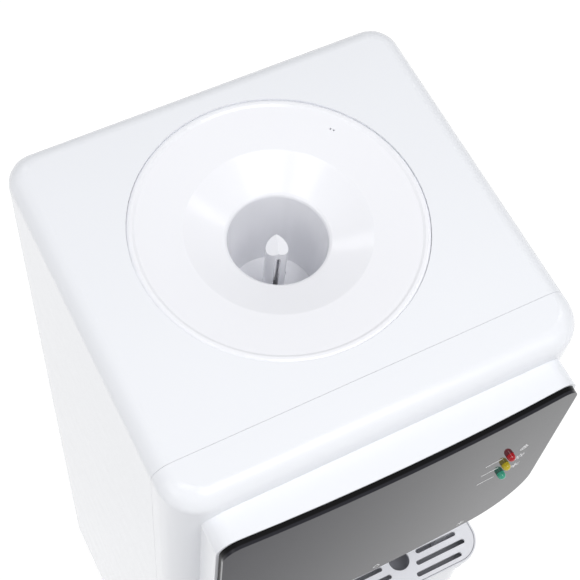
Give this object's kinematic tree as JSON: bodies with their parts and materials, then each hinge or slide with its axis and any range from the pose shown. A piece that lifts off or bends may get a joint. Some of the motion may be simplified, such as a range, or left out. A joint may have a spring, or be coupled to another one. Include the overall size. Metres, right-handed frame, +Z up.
{
  "type": "countertop water dispenser",
  "caption": "White top-loading hot and cold water dispenser with a funnel bottle seat, dark mirror front panel, thumb-lever taps and a pull-out drip tray.",
  "frame": {"origin": "on the ground under the middle of the footprint", "axes": "+Z up, the front with the panel and taps faces -Y, +X is to the right of a user who faces the front"},
  "size_m": [0.28, 0.2948, 0.67],
  "materials": {
    "white_gloss": "white glossy moulded plastic",
    "white_satin": "off-white satin plastic",
    "white_clean": "white food-grade plastic",
    "rear_grey": "light grey textured plastic",
    "black_plastic": "black plastic",
    "black_gloss": "black glossy plastic edge",
    "mirror_dark": "dark tinted mirror-like glass",
    "lens_red": "red translucent lens",
    "lens_yellow": "yellow translucent lens",
    "lens_green": "green translucent lens",
    "pcb": "circuit board with green solder mask",
    "silicone": "translucent grey silicone",
    "silicone_tube": "silicone hose",
    "rubber": "black rubber",
    "stainless": "brushed stainless steel",
    "zinc": "zinc-plated steel",
    "copper": "bare copper tube",
    "foam": "expanded foam insulation",
    "painted_black": "black painted steel",
    "red_plastic": "red plastic",
    "blue_plastic": "blue plastic",
    "green_plastic": "green plastic"
  },
  "bodies": {
    "cabinet": {"rear_housing": "white_gloss", "front_fascia": "white_gloss", "lower_front_panel": "white_gloss", "base_plate": "black_plastic", "feet": "rubber", "base_screws": "zinc", "rear_cover": "rear_grey", "rear_cover_screws": "zinc", "bay_liner": "white_satin", "panel_carrier": "black_gloss", "mirror_glass": "mirror_dark", "lens_red": "lens_red", "lens_yellow": "lens_yellow", "lens_green": "lens_green", "indicator_board": "pcb", "tank_lid": "white_satin", "cold_tank": "stainless", "baffle": "white_satin", "evaporator": "copper", "cold_foam": "foam", "tank_shelf": "zinc", "hot_tank": "stainless", "heater_band": "stainless", "thermostats": "zinc", "hot_foam": "foam", "tank_stand": "zinc", "hose_cold": "silicone_tube", "hose_room": "silicone_tube", "hose_hot": "silicone_tube", "hose_feed": "silicone_tube", "hose_drain": "silicone_tube", "compressor": "painted_black", "grommets": "rubber", "condenser": "painted_black", "dryer": "copper", "power_board": "pcb", "switch_frames": "black_plastic", "cord_gland": "black_plastic", "drain_fitting": "white_satin", "tap_body_hot": "white_clean", "tap_body_room": "white_clean", "tap_body_cold": "white_clean", "tap_nuts": "white_satin", "tap_pins": "zinc"},
    "bottle_seat": {"bottle_seat": "white_clean", "feed_probe": "white_clean", "seat_gasket": "silicone"},
    "lever_hot": {"lever_hot": "red_plastic"},
    "lever_room": {"lever_room": "white_clean"},
    "lever_cold": {"lever_cold": "blue_plastic"},
    "plunger_hot": {"plunger_hot": "silicone"},
    "plunger_room": {"plunger_room": "silicone"},
    "plunger_cold": {"plunger_cold": "silicone"},
    "child_lock": {"child_lock": "red_plastic"},
    "drip_tray": {"drip_tray": "white_clean"},
    "drip_grille": {"drip_grille": "white_clean"},
    "rocker_hot": {"rocker_hot": "red_plastic"},
    "rocker_cold": {"rocker_cold": "green_plastic"},
    "drain_cap": {"drain_cap": "black_plastic"}
  },
  "joints": [
    {"name": "lever_hot_press", "type": "hinge", "parent": "cabinet", "child": "lever_hot", "pos_m": [-0.069, -0.119, 0.454], "axis": [1, 0, 0], "range_deg": [0, 18], "stiffness_Nm_per_rad": 0.35, "springref_deg": -20.05},
    {"name": "plunger_hot_lift", "type": "slide", "parent": "cabinet", "child": "plunger_hot", "axis": [0, 0, 1], "range_m": [0, 0.0029]},
    {"name": "lever_room_press", "type": "hinge", "parent": "cabinet", "child": "lever_room", "pos_m": [0, -0.119, 0.454], "axis": [1, 0, 0], "range_deg": [0, 18], "stiffness_Nm_per_rad": 0.35, "springref_deg": -20.05},
    {"name": "plunger_room_lift", "type": "slide", "parent": "cabinet", "child": "plunger_room", "axis": [0, 0, 1], "range_m": [0, 0.0029]},
    {"name": "lever_cold_press", "type": "hinge", "parent": "cabinet", "child": "lever_cold", "pos_m": [0.069, -0.119, 0.454], "axis": [1, 0, 0], "range_deg": [0, 18], "stiffness_Nm_per_rad": 0.35, "springref_deg": -20.05},
    {"name": "plunger_cold_lift", "type": "slide", "parent": "cabinet", "child": "plunger_cold", "axis": [0, 0, 1], "range_m": [0, 0.0029]},
    {"name": "child_lock_slide", "type": "slide", "parent": "lever_hot", "child": "child_lock", "axis": [0, 0.9703, 0.2419], "range_m": [-0.003, 0]},
    {"name": "bottle_seat_lift", "type": "slide", "parent": "cabinet", "child": "bottle_seat", "axis": [0, 0, 1], "range_m": [0, 0.14]},
    {"name": "drip_tray_pull", "type": "slide", "parent": "cabinet", "child": "drip_tray", "axis": [0, -1, 0], "range_m": [0, 0.09]},
    {"name": "drip_grille_lift", "type": "slide", "parent": "drip_tray", "child": "drip_grille", "axis": [0, 0, 1], "range_m": [0, 0.06]},
    {"name": "rocker_hot_press", "type": "hinge", "parent": "cabinet", "child": "rocker_hot", "pos_m": [0.066, 0.138, 0.102], "axis": [1, 0, 0], "range_deg": [0, 16]},
    {"name": "rocker_cold_press", "type": "hinge", "parent": "cabinet", "child": "rocker_cold", "pos_m": [0.094, 0.138, 0.102], "axis": [1, 0, 0], "range_deg": [0, 16]},
    {"name": "drain_cap_pull", "type": "slide", "parent": "cabinet", "child": "drain_cap", "axis": [0, 1, 0], "range_m": [0, 0.03]}
  ],
  "couplings": [
    {"joint": "plunger_hot_lift", "follows": "lever_hot_press", "m_per_rad": 0.009},
    {"joint": "plunger_room_lift", "follows": "lever_room_press", "m_per_rad": 0.009},
    {"joint": "plunger_cold_lift", "follows": "lever_cold_press", "m_per_rad": 0.009}
  ]
}
